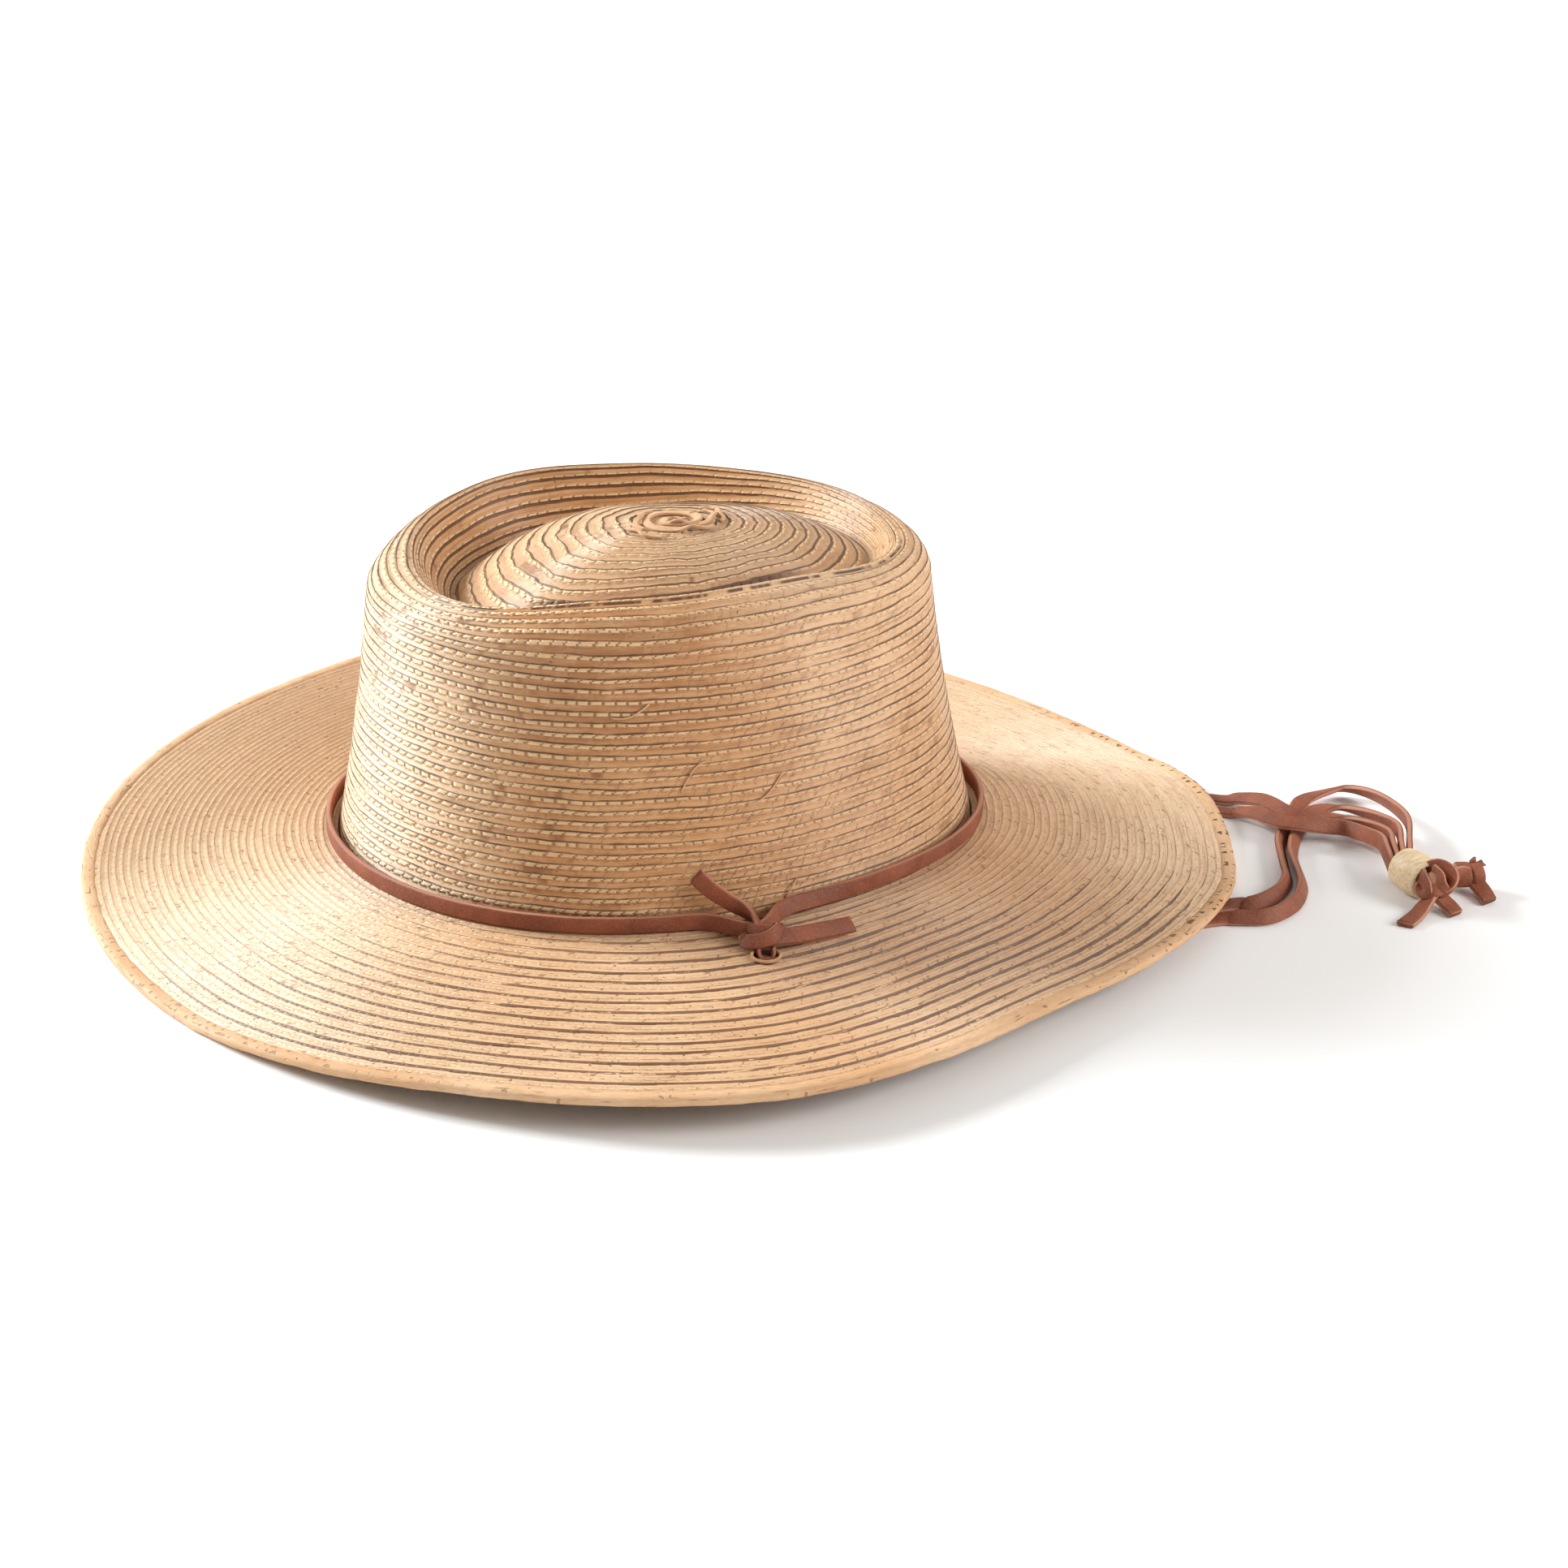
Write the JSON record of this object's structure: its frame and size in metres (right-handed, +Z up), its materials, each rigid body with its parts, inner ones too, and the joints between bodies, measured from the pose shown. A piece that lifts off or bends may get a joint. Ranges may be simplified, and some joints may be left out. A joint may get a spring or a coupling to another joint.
{
  "type": "rancher hat",
  "caption": "Braided straw hat with a creased crown, a curled brim, a leather lace band and a leather chin lace with a wooden bead.",
  "frame": {"origin": "middle of the brim's outline, on the surface that the hat rests on", "axes": "+X to the front of the hat, +Y to its far side, +Z up"},
  "size_m": [0.4234, 0.3526, 0.1114],
  "materials": {
    "straw": "sewn straw braid, pale tan, matt",
    "leather": "reddish brown cut lace, semi-matt",
    "wood": "pale turned wood, satin"
  },
  "bodies": {
    "root": {"crown": "straw", "brim": "straw", "brim_edge": "straw", "hat_band": "leather", "chin_lace_near_a": "leather", "chin_lace_near_b": "leather", "chin_lace_far_a": "leather", "chin_lace_far_b": "leather", "far_stop_knot": "leather", "bead": "wood", "end_knot_a": "leather", "end_knot_b": "leather"}
  },
  "joints": []
}
